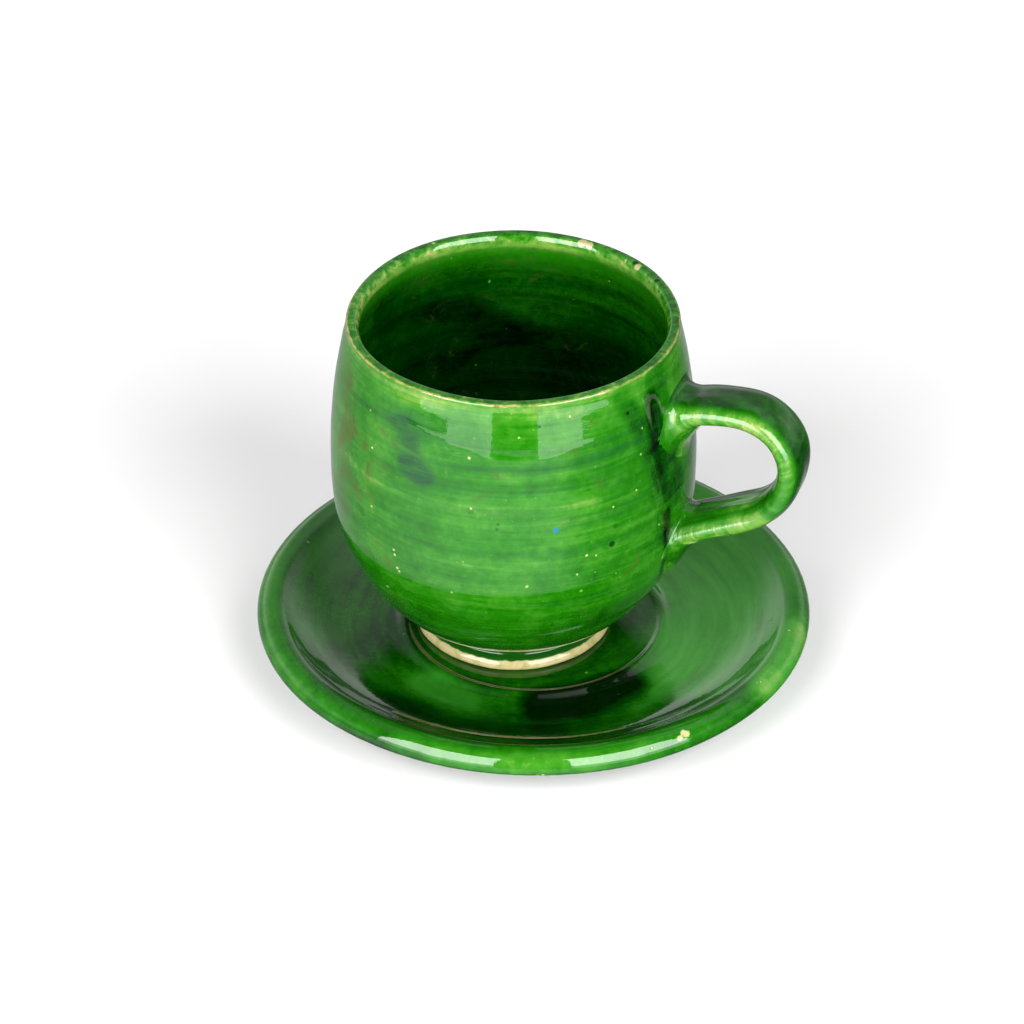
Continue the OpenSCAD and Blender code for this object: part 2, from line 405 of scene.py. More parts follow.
def cup_foot(material):
    """The turned foot: it flares from a grooved neck to a rounded lower edge."""
    outer = np.vstack([
        arc((FOOT_HOLLOW_R + 0.8, 0.8), 0.8, 180, 270, 5),
        arc((FOOT_R - 1.0, 1.0), 1.0, 270, 375, 10),
        arc((FOOT_R - 2.6, 0.85), 2.6, 12, 62, 12)[1:],
        [[NECK_R - 0.5, 3.7], [NECK_R - 0.9, FOOT_H + 0.5], [FOOT_HOLLOW_R, FOOT_H + 0.5]]])
    profile = even(np.vstack([outer, outer[:1]]), 73)[:-1]

    def shift(turn, r, z):
        sway = 0.14 * np.cos(2 * turn + 2.0) + 0.1 * np.cos(5 * turn) + 0.05 * np.cos(13 * turn)
        return (sway - 0.3) * smoothstep(r, FOOT_HOLLOW_R, FOOT_R), np.zeros_like(z)

    points, faces = closed_ring(profile, FOOT_STEPS, shift)
    outside = smoothstep(np.hypot(points[:, 0], points[:, 1]), 22.0, 23.5)
    marks = {"glazed": smoothstep(points[:, 2], 2.2, 3.4) * outside}
    make_piece("cup_foot_turned", on_cup(points), faces, "cup", ["cup_foot_ring"],
               material, marks)


# -------- handle

STRAP_SIDES = 72
STRAP_RINGS = 120
STRAP_STATIONS = 420  # points on the centre line, before the rings are placed
FILLET_RINGS = 16
RING_MM = 0.75  # nominal spacing of the rings, for the glaze's pattern along the strap
STRAP_SQUARE = 2.2  # power of the section's superellipse
BLANKET_STEP = 0.35
SUNK = -1.3  # underside of a luting, below the wall's skin


def pad_lift(y, z):
    """Smeared clay round the strap's upper root, as height above the wall."""
    tall = np.where(z > PAD_Z, 7.0, 10.5)
    d = np.sqrt((y / 10.4) ** 2 + ((z - PAD_Z) / tall) ** 2)
    return 1.5 * (1 - smoothstep(d, 0.45, 1.0)) - 0.3 * smoothstep(d, 0.9, 1.15)


def tail_lift(y, z):
    """The strap's end pressed down the wall into a tongue, as height above the wall."""
    tall = np.where(z > TAIL_Z, 8.5, TAIL_Z - TAIL_TIP_Z + 0.8)
    d = (np.abs(y / 8.4) ** 1.7 + np.abs((z - TAIL_Z) / tall) ** 1.7) ** (1 / 1.7)
    inside = 8.0 * (1 - d)
    thick = 2.4 + 0.7 * smoothstep(z, 26, 42)
    stroke = 0.5 * np.exp(-(y / 2.6) ** 2) * smoothstep(inside, 0.8, 4.0)
    body = thick * (1 - np.exp(-np.maximum(inside, 0) / 1.5)) - stroke
    return np.where(inside > 0, body, -0.3 * (1 - np.exp(np.minimum(inside, 0) / 0.6)))


def strap_path():
    """Centre line of the strap, from inside the wall above to inside it below: [from axis, height]."""
    upper_c = np.array([REACH - UPPER_BEND_R, REACH_Z])
    lower_c = np.array([REACH - LOWER_BEND_R, REACH_Z])
    arm_c = upper_c + np.array([0, UPPER_BEND_R - ARM_ARCH_R])
    low = lower_c + LOWER_BEND_R * unit(LOWER_SLOPE - 90)
    way = np.vstack([
        arc(arm_c, ARM_ARCH_R, 120, 90, 40),
        arc(upper_c, UPPER_BEND_R, 90, 0, 40)[1:],
        arc(lower_c, LOWER_BEND_R, 0, LOWER_SLOPE - 90, 40)[1:],
        low - unit(LOWER_SLOPE) * np.linspace(1, 26, 26)[:, None]])
    return softened(even(way, STRAP_STATIONS), 90)


def strap_section(width, t):
    """One section: [outward, across] points, with a crowned outside and a finger-grooved inside."""
    phi = np.linspace(0, 2 * math.pi, 720)
    power = 2 / STRAP_SQUARE
    a = STRAP_T / 2 * np.sign(np.cos(phi)) * np.abs(np.cos(phi)) ** power
    b = width / 2 * np.sign(np.sin(phi)) * np.abs(np.sin(phi)) ** power
    ring = even(np.stack([a, b], 1), STRAP_SIDES + 1)[:-1]
    a, b = ring[:, 0], ring[:, 1]
    flat = 1 - smoothstep(np.abs(b) / (width / 2), 0.55, 0.95)
    outside = smoothstep(a, 0.5, 2.2) * flat
    inside = smoothstep(-a, 0.5, 2.2) * flat
    groove = 0.1 * np.cos(2 * math.pi * (b + 0.6) / 4.8 + 0.5 * math.sin(5 * t)) - 0.1
    crown = 0.1 * np.cos(2 * math.pi * b / 9.0 + 2.6) - 0.05
    ring[:, 0] += outside * crown + inside * groove
    return ring


def strap_lines():
    """All section points along the whole path, about the cup's axis: stations x sides x 3."""
    path = strap_path()
    along = np.gradient(path, axis=0)
    along /= np.linalg.norm(along, axis=1)[:, None]
    out = np.stack([-along[:, 1], along[:, 0]], 1)
    lines = np.zeros((STRAP_STATIONS, STRAP_SIDES, 3))
    for i in range(STRAP_STATIONS):
        t = i / (STRAP_STATIONS - 1)
        ring = strap_section(STRAP_W + (STRAP_END_W - STRAP_W) * t, t)
        lean = 0.25 * math.sin(3.1 * t + 0.4)
        wave = 0.06 * math.sin(19 * t) + 0.04 * math.sin(43 * t + 1)
        push = ring[:, 0] * (1 + 0.03 * math.sin(11 * t)) + wave * np.sign(ring[:, 0])
        lines[i, :, 0] = path[i, 0] + out[i, 0] * push
        lines[i, :, 1] = ring[:, 1] + lean
        lines[i, :, 2] = path[i, 1] + out[i, 1] * push
    return lines


def wall_lift(y, z):
    """Height of the pads above the wall."""
    return np.maximum(np.maximum(pad_lift(y, z), tail_lift(y, z)), 0.0)


def to_skin(p):
    """Points about the cup's axis as [turn, height, lift above the wall with its pads]."""
    turn = np.arctan2(p[..., 1], p[..., 0])
    z = p[..., 2]
    r = np.hypot(p[..., 0], p[..., 1])
    return np.stack([turn, z, r - wall_radius(z) - outer_marks(turn, z) - wall_lift(p[..., 1], z)], -1)


def from_skin(s):
    """The reverse of to_skin."""
    turn, z, lift = s[..., 0], s[..., 1], s[..., 2]
    y = wall_radius(z) * np.sin(turn)
    r = wall_radius(z) + outer_marks(turn, z) + wall_lift(y, z) + lift
    return np.stack([r * np.cos(turn), r * np.sin(turn), z], -1)


def line_at(lines, t):
    """Point on each side's own line at that side's own fractional station."""
    i = np.clip(np.floor(t).astype(int), 0, len(lines) - 2)
    k = (t - i)[:, None]
    side = np.arange(lines.shape[1])
    return lines[i, side] * (1 - k) + lines[i + 1, side] * k


def crossing(lines, last):
    """Fractional station at which each side's line comes out of the wall, or goes back in."""
    lift = to_skin(lines)[..., 2]
    t = np.zeros(lines.shape[1])
    for j in range(lines.shape[1]):
        sign = lift[:, j] > 0
        hits = np.where(sign[1:] != sign[:-1])[0]
        i = hits[-1] if last else hits[0]
        t[j] = i + lift[i, j] / (lift[i, j] - lift[i + 1, j])
    return t


def root_rings(lines, t_wall, inward, reach, spread):
    """Rings that flare from the strap onto the wall, and where on each line they start.
    reach is along the strap and spread on the wall, each [up, side, down] in mm."""
    step = np.linalg.norm(np.diff(lines.mean(1), axis=0), axis=1).mean()
    wall = to_skin(line_at(lines, t_wall))
    middle = wall.mean(0)
    away = wall[:, :2] - middle[:2]
    away[:, 0] *= wall_radius(middle[1])
    # How much of each side faces up, sideways and down on the wall
    facing = away / np.abs(away).max(0)
    facing /= np.linalg.norm(facing, axis=1)[:, None]
    across, upward = facing.T
    share = np.stack([np.maximum(upward, 0), np.abs(across), np.maximum(-upward, 0)], 1)
    share /= share.sum(1)[:, None]
    t_start = t_wall + inward * (share @ reach) / step
    start = to_skin(line_at(lines, t_start))
    end = wall.copy()
    end[:, 0] += across * (share @ spread) / wall_radius(middle[1])
    end[:, 1] += upward * (share @ spread)
    end[:, 2] = -0.05
    sunk = end.copy()
    sunk[:, :2] = middle[:2] + (end[:, :2] - middle[:2]) * 0.96
    sunk[:, 2] = -1.0
    rings = [from_skin(sunk)]
    for k in np.arange(FILLET_RINGS) / FILLET_RINGS:
        rings.append(from_skin((1 - k) ** 2 * end + 2 * k * (1 - k) * wall + k * k * start))
    return np.array(rings), t_start


def handle_strap(material):
    lines = strap_lines()
    top, t0 = root_rings(lines, crossing(lines, False), 1, (4.5, 4.4, 9.0), (4.2, 4.6, 13.0))
    bottom, t1 = root_rings(lines, crossing(lines, True), -1, (2.4, 3.0, 8.5), (1.8, 1.3, 13.0))
    free = np.array([line_at(lines, t0 + (t1 - t0) * k) for k in np.linspace(0, 1, STRAP_RINGS)])
    points, faces = tube(np.concatenate([top, free, bottom[::-1]]))
    rings = (len(points) - 2) // STRAP_SIDES
    section = strap_section(STRAP_W, 0.0)
    side = np.abs(section[:, 1]) / (STRAP_W / 2)
    face = smoothstep(np.abs(section[:, 0]), 2.0, 3.0) * (1 - smoothstep(side, 0.6, 0.85))
    by_side = {"edge": smoothstep(side, 0.66, 0.94), "outer": face * (section[:, 0] > 0),
               "inner": face * (section[:, 0] < 0), "across_mm": section[:, 1]}
    marks = wall_paint(points)
    for key, values in by_side.items():
        marks[key] = np.r_[np.tile(values, rings), 0, 0]
    marks["along_mm"] = np.r_[np.repeat(np.arange(rings) * RING_MM, STRAP_SIDES), 0, 0]
    make_piece("handle_strap_pulled", on_cup(points), faces, "cup", ["handle_strap"],
               material, marks)


def blanket(name, node, half_width, z_lo, z_hi, lift, material):
    """A closed layer of clay over a patch of the cup's wall. It dives into the wall at its edges."""
    ys = np.linspace(-half_width, half_width, int(2 * half_width / BLANKET_STEP) + 1)
    zs = np.linspace(z_lo, z_hi, int((z_hi - z_lo) / BLANKET_STEP) + 1)
    z, y = np.meshgrid(zs, ys, indexing="ij")
    turn = np.arcsin(y / wall_radius(z))
    r = wall_radius(z) + outer_marks(turn, z)
    layers = [np.stack([out * np.cos(turn), out * np.sin(turn), z], -1)
              for out in (r + lift(y, z), r + SUNK)]
    n, m = z.shape
    points = np.array(layers).reshape(-1, 3)
    base = n * m
    faces = []
    for i in range(n - 1):
        for j in range(m - 1):
            a = i * m + j
            b, c, d = a + 1, a + m + 1, a + m
            faces += [(a, b, c, d), (base + d, base + c, base + b, base + a)]
    border = list(range(m)) + [i * m + m - 1 for i in range(1, n)]
    border += [(n - 1) * m + j for j in range(m - 2, -1, -1)] + [i * m for i in range(n - 2, 0, -1)]
    for k, a in enumerate(border):
        b = border[(k + 1) % len(border)]
        faces.append((b, a, base + a, base + b))
    make_piece(name, on_cup(points), faces, "cup", [node], material,
               wall_paint(points))


# -------- saucer

SAUCER_STEPS = 380
BASE_STEPS = 280
UNDER_ANGLE = -110  # where the swell of the underside meets the edge's round


def saucer_profile():
    """Half section of the saucer from under its middle, round the roll and back over the dish."""
    roll_c = np.array([SAUCER_R - ROLL_R, ROLL_Z])
    edge_c = np.array([SAUCER_R - ROLL_EDGE_R, ROLL_Z])
    flank_z = DISH_Z + FLANK_R
    aside = math.sqrt((FLANK_R + ROLL_R) ** 2 - (flank_z - ROLL_Z) ** 2)
    flank_c = np.array([roll_c[0] - aside, flank_z])
    meet = angle_at(flank_c, roll_c)
    ridge = ridge_curve()
    under = np.array([[r, BASE_H] for r in (0.0, 20.0, BASE_HOLLOW_R + 1, BASE_R - 0.5)])
    swell = np.array([under[-1], edge_c + ROLL_EDGE_R * unit(UNDER_ANGLE)])
    top = np.vstack([
        even(swell, 30)[1:-1],
        arc(edge_c, ROLL_EDGE_R, UNDER_ANGLE, 0, 20),
        arc(roll_c, ROLL_R, 0, meet + 180, 44)[1:],
        arc(flank_c, FLANK_R, meet, -90, 44)[1:]])
    flat = even(np.array([top[-1], ridge[0]]), 20)[1:-1]
    well = even(np.array([ridge[-1], [0.0, CUP_Z]]), 34)[1:]
    return np.vstack([under, softened(np.vstack([top, flat, ridge, well]), 5)])


def ridge_curve():
    """The low ridge round the well, outer foot to inner foot."""
    r = np.linspace(RIDGE_R + 5.2, RIDGE_R - 2.6, 40)
    outer_side = np.exp(-((r - RIDGE_R) / 2.4) ** 2)
    inner_side = np.exp(-((r - RIDGE_R) / 1.2) ** 2)
    bump = np.where(r > RIDGE_R, outer_side, inner_side)
    floor = np.where(r > RIDGE_R, DISH_Z, CUP_Z)
    return np.stack([r, floor + (CUP_Z + RIDGE_H - floor) * bump], 1)


def saucer_shift(turn, r, on_top):
    """Radial and upward waver of the saucer's profile."""
    edge = smoothstep(r, 46, SAUCER_R - 2)
    sway = 0.16 * np.cos(2 * turn + 0.7) + 0.1 * np.cos(3 * turn) + 0.04 * np.cos(9 * turn + 1)
    lift = 0.12 * np.cos(2 * turn - 0.9) + 0.08 * np.cos(4 * turn + 0.5)
    dish = smoothstep(r, 37.5, 40) * (1 - smoothstep(r, 66, 70))
    rings = ripple(r, turn, DISH_WAVES) * dish
    # A thrown line on the inner shoulder of the roll
    rings += 0.04 * np.exp(-((r - 67.8) / 0.9) ** 2)
    return edge * (sway - 0.3), edge * (lift - 0.2) + np.where(on_top, rings, 0.0)


def saucer_dish(material):
    profile = saucer_profile()
    widest = int(np.argmax(profile[:, 0]))
    on_top = (np.arange(len(profile)) > widest)[1:-1, None]
    points, faces = lathe(profile, SAUCER_STEPS, lambda turn, r, z: saucer_shift(turn, r, on_top))
    along = distance_along(profile)
    x, y = points[:, 0], points[:, 1]
    marks = {"rim_mm": lathed_values(along - along[widest], SAUCER_STEPS),
             "ring_mm": np.hypot(x, y), "thin": painted(x, y, DISH_RUNS)}
    make_piece("saucer_thrown", points, faces, "saucer", ["saucer_dish", "saucer_rim_roll"],
               material, marks)


def saucer_foot(material):
    outer = np.vstack([
        arc((BASE_HOLLOW_R + 1.0, 1.0), 1.0, 180, 270, 6),
        arc((BASE_R - 1.2, 1.2), 1.2, 270, 360, 8),
        [[BASE_R - 0.2, 3.2], [BASE_R - 0.6, BASE_H + 0.3], [BASE_HOLLOW_R + 0.2, BASE_H + 0.3]]])
    profile = even(np.vstack([outer, outer[:1]]), 57)[:-1]

    def shift(turn, r, z):
        return 0.08 * np.cos(4 * turn) - 0.1 + 0 * z, np.zeros_like(z)

    points, faces = closed_ring(profile, BASE_STEPS, shift)
    make_piece("saucer_foot_turned", points, faces, "saucer", ["saucer_foot_ring"],
               material)


# -------- painted marks

# Brush paths on the cup's wall: [[angle, height]...], core width mm, soft edge mm, change of thinness
# or amount of colour
WALL_RUNS = [
    ([(-31, 92), (-26, 84), (-22, 75), (-19, 66), (-16, 54), (-15, 46)], 2.5, 3.5, -0.22),
    ([(-14, 92), (-15, 80), (-14, 66), (-9, 58)], 6.0, 4.0, -0.22),
    ([(22, 90), (20, 72), (17, 62)], 1.5, 7.5, -0.17),
    ([(120, 88), (118, 72), (121, 60)], 1.0, 9.0, -0.13),
    ([(-96, 93), (-108, 92), (-122, 90)], 1.0, 3.0, 0.12),
    ([(-118, 84), (-122, 62), (-119, 44)], 2.0, 6.0, 0.1),
    ([(-84, 62), (-60, 63), (-44, 61)], 4.0, 6.0, 0.06),
    ([(-14.8, 52), (-13.6, 42), (-11.4, 31), (-7, 24.0)], 0.9, 1.3, -0.5),
    ([(-10.0, 37), (-7.6, 30), (-3.5, 25.5)], 1.6, 2.4, 0.24),
    ([(-18.5, 87), (-16.5, 73)], 3.5, 2.5, -0.22),
]
INNER_RUNS = [
    ([(168, 81), (146, 75.5), (130, 71), (115, 65), (103, 60.5), (88, 58), (69, 61)], 3.0, 7.0, -0.13),
    ([(133, 80.2), (108, 79.4), (82, 80.9), (56, 83.5)], 0.8, 2.6, -0.07),
    ([(150, 62), (120, 54), (80, 50)], 3.0, 8.0, -0.08),
]
SMUDGES = [
    ([(-106, 85.5), (-103.5, 84)], 2.2, 5.5, 0.95),
    ([(-106, 73.5), (-101.0, 72.0)], 2.2, 5.5, 1.0),
    ([(-110, 83), (-105, 76)], 1.0, 6.5, 0.7),
    ([(-120, 87), (-112, 86)], 0.8, 4.0, 0.7),
    ([(-98, 72), (-88, 71)], 0.5, 4.5, 0.45),
    ([(-46, 76), (-36, 72), (-33, 64)], 1.0, 6.0, 0.42),
    ([(-52, 61), (-44, 60.5)], 0.8, 4.0, 0.3),
]
OLIVE = [
    ([(-142, 84), (-136, 70), (-138, 50)], 4.0, 6.0, 0.9),
    ([(-132, 83), (-128, 76)], 2.0, 5.0, 0.7),
    ([(-124, 72), (-120, 60)], 1.0, 5.0, 0.6),
    ([(-122, 82), (-112, 78)], 0.6, 3.0, 0.55),
    ([(-120, 47), (-112, 40)], 1.0, 4.0, 0.6),
    ([(-129, 60), (-124, 52)], 1.5, 4.0, 0.5),
]
# Paths on the saucer, seen from above: [[x, y]...], core width, soft edge, change of thinness
DISH_RUNS = [
    # First path: the dark patch in front of the cup's foot, partly a pool of glaze, partly the cup's
    # shadowed belly painted in as a dark reflection.
    ([(16, -35.5), (25, -30), (33, -21)], 6.0, 6.0, -0.44),
    ([(19, -42), (33, -34)], 3.0, 8.0, -0.2),
    ([(-20, -50), (2, -53), (22, -48)], 4.0, 7.0, -0.16),
    ([(-16, -38), (-6, -43)], 6.0, 8.0, 0.16),
    ([(40, -24), (36, -34)], 4.0, 6.0, 0.14),
    ([(-58, -18), (-50, 30)], 24.0, 14.0, 0.1),
    ([(54, -6), (46, 28), (26, 48)], 20.0, 14.0, 0.3),
    ([(71.5, -16), (72.5, 8)], 4.0, 6.0, 0.19),
]
# Small spots on the saucer: [x, y, z] in mm from its axis, radius mm, change of thinness
SAUCER_SPOTS = [
    ((59.0, -44.6, 17.2), 1.9, 0.75), ((57.6, -46.2, 16.4), 1.4, 0.6), ((26.0, -69.4, 12.6), 0.8, 0.7),
    ((27.6, -69.0, 12.4), 0.6, 0.6), ((-31.5, 66.0, 17.0), 1.6, 0.7), ((71.0, -12.0, 16.6), 0.9, -0.4),
    ((69.4, -20.2, 16.8), 0.8, -0.4), ((-66.0, -20.0, 17.4), 0.7, 0.4),
]
# The same on the cup's lip: angle, distance from the cup's axis, height above its foot, then as above
LIP_SPOTS = [
    (84.0, 41.7, 95.2, 1.5, 0.7), (80.8, 41.5, 95.0, 1.0, 0.6), (87.5, 41.4, 94.8, 0.7, 0.5),
    (60.0, 42.0, 95.6, 1.2, -0.55), (57.4, 41.6, 95.0, 1.1, 0.55), (63.5, 41.4, 94.8, 0.8, 0.4),
    (45.0, 41.8, 95.4, 0.9, -0.4), (141.0, 41.7, 95.2, 0.9, 0.4), (38.0, 41.3, 94.6, 0.9, 0.5),
]
# The same on the cup's wall: angle, height, then as above
CUP_DOTS = [
    (-84.5, 80.6, 0.525, 0.6), (-83.4, 66.0, 0.42, 0.6), (-83.4, 65.0, 1.05, -0.12),
    (-74.9, 62.0, 0.63, -0.22), (-75.3, 60.4, 0.63, -0.22), (-38.2, 51.3, 1.19, -0.34),
    (-37.0, 56.5, 0.91, -0.14), (-110.6, 46.4, 0.49, 0.5), (-110.3, 44.9, 0.56, 0.5),
    (-109.6, 40.8, 0.56, 0.5), (-108.9, 39.9, 0.56, 0.45), (-29.4, 87.6, 0.63, -0.3),
    (-47.0, 50.0, 0.49, 0.5), (-66.0, 42.5, 0.63, 0.32), (-37.6, 62.6, 0.42, 0.5),
    (-28.6, 64.8, 0.385, 0.5), (-25.9, 74.6, 0.49, 0.45), (-48.4, 38.6, 0.63, 0.35),
    (-90.0, 38.4, 0.42, 0.35), (-61.5, 89.8, 0.56, -0.35), (-121, 74, 0.49, 0.45), (-124, 84, 0.42, 0.45),
]


def painted(x, y, runs):
    """Sum of soft brush paths."""
    total = np.zeros(len(y))
    for path, width, soft, amount in runs:
        total += amount * (1 - smoothstep(path_distance(x, y, path), width / 2, width / 2 + soft))
    return total


def paint_on_wall(points, runs):
    round_mm = BELLY_R * np.arctan2(points[:, 1], points[:, 0])
    return painted(round_mm, points[:, 2], [(on_wall(path), *rest) for path, *rest in runs])


def wall_paint(points):
    """Where the glaze on the cup ran thick, was wiped thin or took another colour."""
    return {key: paint_on_wall(points, runs)
            for key, runs in (("thin", WALL_RUNS), ("smudge", SMUDGES), ("olive", OLIVE))}


def inner_paint(points):
    """Dark swirls on the cup's inner wall."""
    return paint_on_wall(points, INNER_RUNS)


# -------- node helpers

class Nodes:
    """Short forms for building a node tree."""

    def __init__(self, tree):
        self.tree = tree

    def new(self, kind, **settings):
        node = self.tree.nodes.new(kind)
        for key, value in settings.items():
            setattr(node, key, value)
        return node

    def put(self, socket, value):
        """Links another node's output to a socket, or sets the socket's own value."""
        if isinstance(value, bpy.types.NodeSocket):
            self.tree.links.new(value, socket)
        else:
            socket.default_value = value

    def fed(self, kind, values, **settings):
        """First output of a new node whose inputs take the values in order."""
        node = self.new(kind, **settings)
        for socket, value in zip(node.inputs, values):
            self.put(socket, value)
        return node.outputs[0]

    def math(self, op, a, b=0.0, c=0.0):
        return self.fed("ShaderNodeMath", (a, b, c), operation=op)

    def times(self, a, b, plus=0.0):
        return self.math("MULTIPLY_ADD", a, b, plus)

    def total(self, *terms):
        """Sum of [value, weight] pairs."""
        result = 0.0
        for value, weight in terms:
            result = self.times(value, weight, result)
        return result

    def blend(self, amount, a, b):
        """a where amount is 0, b where it is 1."""
        return self.times(b, amount, self.times(a, self.math("SUBTRACT", 1.0, amount)))

    def ramp(self, value, lo, hi, to_lo=0.0, to_hi=1.0):
        """A smooth step from to_lo at lo to to_hi at hi."""
        return self.fed("ShaderNodeMapRange", (value, lo, hi, to_lo, to_hi),
                        interpolation_type="SMOOTHSTEP")

    def measure(self, op, a, b=(0, 0, 0)):
        """Plain number that a vector operation gives."""
        node = self.new("ShaderNodeVectorMath", operation=op)
        self.put(node.inputs[0], a)
        self.put(node.inputs[1], b)
        return node.outputs["Value"]


class Material(Nodes):
    """A new material: a Principled shader, painted in the object's own space."""

    def __init__(self, name):
        self.material = bpy.data.materials.new(name)
        self.material.use_nodes = True
        super().__init__(self.material.node_tree)
        self.tree.nodes.clear()
        self.shader = self.new("ShaderNodeBsdfPrincipled")
        self.put(self.new("ShaderNodeOutputMaterial").inputs[0], self.shader.outputs[0])
        self.object_space = self.new("ShaderNodeTexCoord").outputs["Object"]

    def look(self, name, value):
        self.put(self.shader.inputs[name], value)

    def mix(self, amount, a, b):
        node = self.new("ShaderNodeMix", data_type="RGBA")
        self.put(node.inputs[0], amount)
        for socket, value in ((node.inputs[6], a), (node.inputs[7], b)):
            self.put(socket, (*value, 1.0) if isinstance(value, tuple) else value)
        return node.outputs[2]

    def tones(self, value, stops):
        """Colour by value between [place, colour] stops."""
        node = self.new("ShaderNodeValToRGB")
        self.put(node.inputs[0], value)
        band = node.color_ramp.elements
        while len(band) < len(stops):
            band.new(0.5)
        for element, (place, colour) in zip(band, stops):
            element.position = place
            element.color = (*colour, 1.0)
        return node.outputs[0]

    def scaled(self, x, y, z, turn=0.0):
        """Object space with its own number of cells per metre along each axis, turned about Y."""
        node = self.new("ShaderNodeMapping")
        self.put(node.inputs["Vector"], self.object_space)
        self.put(node.inputs["Scale"], (x, y, z))
        self.put(node.inputs["Rotation"], (0, turn, 0))
        return node.outputs[0]

    def noise(self, scale, detail=3.0, rough=0.5, warp=0.0, vector=None):
        """Noise with scale cells per metre of object space, or per unit of another vector."""
        node = self.new("ShaderNodeTexNoise")
        self.put(node.inputs["Vector"], self.object_space if vector is None else vector)
        named = (("Scale", scale), ("Detail", detail), ("Roughness", rough), ("Distortion", warp))
        for key, value in named:
            self.put(node.inputs[key], value)
        return node.outputs[0]

    def waver(self, *settings):
        """Noise centred on 0."""
        return self.math("SUBTRACT", self.noise(*settings), 0.5)

    def spots(self, scale, size, empty):
        """Round spots in some Voronoi cells: 1 in a spot. empty is the share of cells without one."""
        cell = self.new("ShaderNodeTexVoronoi")
        self.put(cell.inputs["Vector"], self.object_space)
        self.put(cell.inputs["Scale"], scale)
        tint = self.new("ShaderNodeSeparateColor")
        self.put(tint.inputs[0], cell.outputs["Color"])
        chosen = self.math("GREATER_THAN", tint.outputs[0], empty)
        reach = self.times(tint.outputs[1], size, size * 0.35)
        near = self.ramp(self.math("DIVIDE", cell.outputs["Distance"], reach), 1.0, 0.4)
        return self.times(near, chosen)

    def dot_at(self, place, radius_mm, ragged=0.0):
        """1 at a place in metres, fading to 0 at a radius. ragged is a value to roughen the edge with."""
        radius = radius_mm * MM
        apart = self.times(ragged, radius, self.measure("DISTANCE", self.object_space, place))
        return self.ramp(apart, radius, 0.45 * radius)

    def value_of(self, name):
        return self.new("ShaderNodeAttribute", attribute_name=name).outputs["Fac"]

    def bump(self, height, distance_mm, under=None):
        node = self.new("ShaderNodeBump")
        self.put(node.inputs["Distance"], distance_mm * MM)
        self.put(node.inputs["Height"], height)
        if under is not None:
            self.put(node.inputs["Normal"], under)
        return node.outputs[0]


# -------- glaze and clay

# Colour of the copper glaze by how thin it lies: 0 is a deep pool, 1 is bare clay
GLAZE_TONES = [
    (0.00, (0.0001, 0.003, 0.0001)),
    (0.22, (0.0003, 0.026, 0.0002)),
    (0.5, (0.007, 0.098, 0.0008)),
    (0.68, (0.027, 0.146, 0.008)),
    (0.84, (0.115, 0.215, 0.034)),
    (1.00, (0.33, 0.29, 0.14)),
]
GLAZE_ROUGHNESS = 0.045
GLAZE_IOR = 1.52
TEAL = (0.002, 0.038, 0.011)
OLIVE_BROWN = (0.036, 0.058, 0.003)
MILKY_GREEN = (0.034, 0.2, 0.022)
BLUE_FLECK = (0.004, 0.1, 0.19)
RUST = (0.1, 0.045, 0.008)
TAN = (0.24, 0.17, 0.055)
CREAM_CLAY = (0.32, 0.27, 0.13)
GREEN_HAZE = (0.15, 0.18, 0.04)
GROOVE_GREEN = (0.004, 0.055, 0.003)


def streaks(n, stretch):
    """Uneven glaze laid on in turning strokes, centred on 0."""
    wide = n.noise(1.0, 4.0, 0.62, 0.35, n.scaled(8, 8, 8 * stretch))
    fine = n.noise(1.0, 3.0, 0.6, 0.2, n.scaled(32, 32, 32 * stretch))
    cloud = n.noise(32.0, 5.0, 0.62, 0.6)
    patch = n.noise(150.0, 4.0, 0.65, 0.4)
    return n.total((wide, 0.46), (fine, 0.24), (cloud, 0.42), (patch, 0.32), (1.0, -0.72))


def finish_glaze(n, thinness_and_shade, height, tints=()):
    """Colour from the thinness and painted shade, grain, pinholes and specks, gloss, and a softly uneven
    surface.
    """
    grain = n.noise(520.0, 3.0, 0.6)
    pale = n.spots(270.0, 0.12, 0.87)
    tiny = n.spots(560.0, 0.17, 0.78)
    dark = n.spots(240.0, 0.12, 0.945)
    thinness_and_shade = n.total((thinness_and_shade, 1.0), (grain, 0.22), (pale, 0.45), (tiny, 0.16),
                       (dark, -0.28), (1.0, -0.11))
    colour = n.tones(thinness_and_shade, GLAZE_TONES)
    for amount, tint in tints:
        colour = n.mix(amount, colour, tint)
    peel = n.bump(n.noise(210.0, 3.0, 0.55), 0.035)
    n.look("Base Color", colour)
    n.look("Roughness", GLAZE_ROUGHNESS)
    n.look("IOR", GLAZE_IOR)
    n.look("Normal", n.bump(pale, -0.10, n.bump(height, 0.05, peel)))
    return n.material


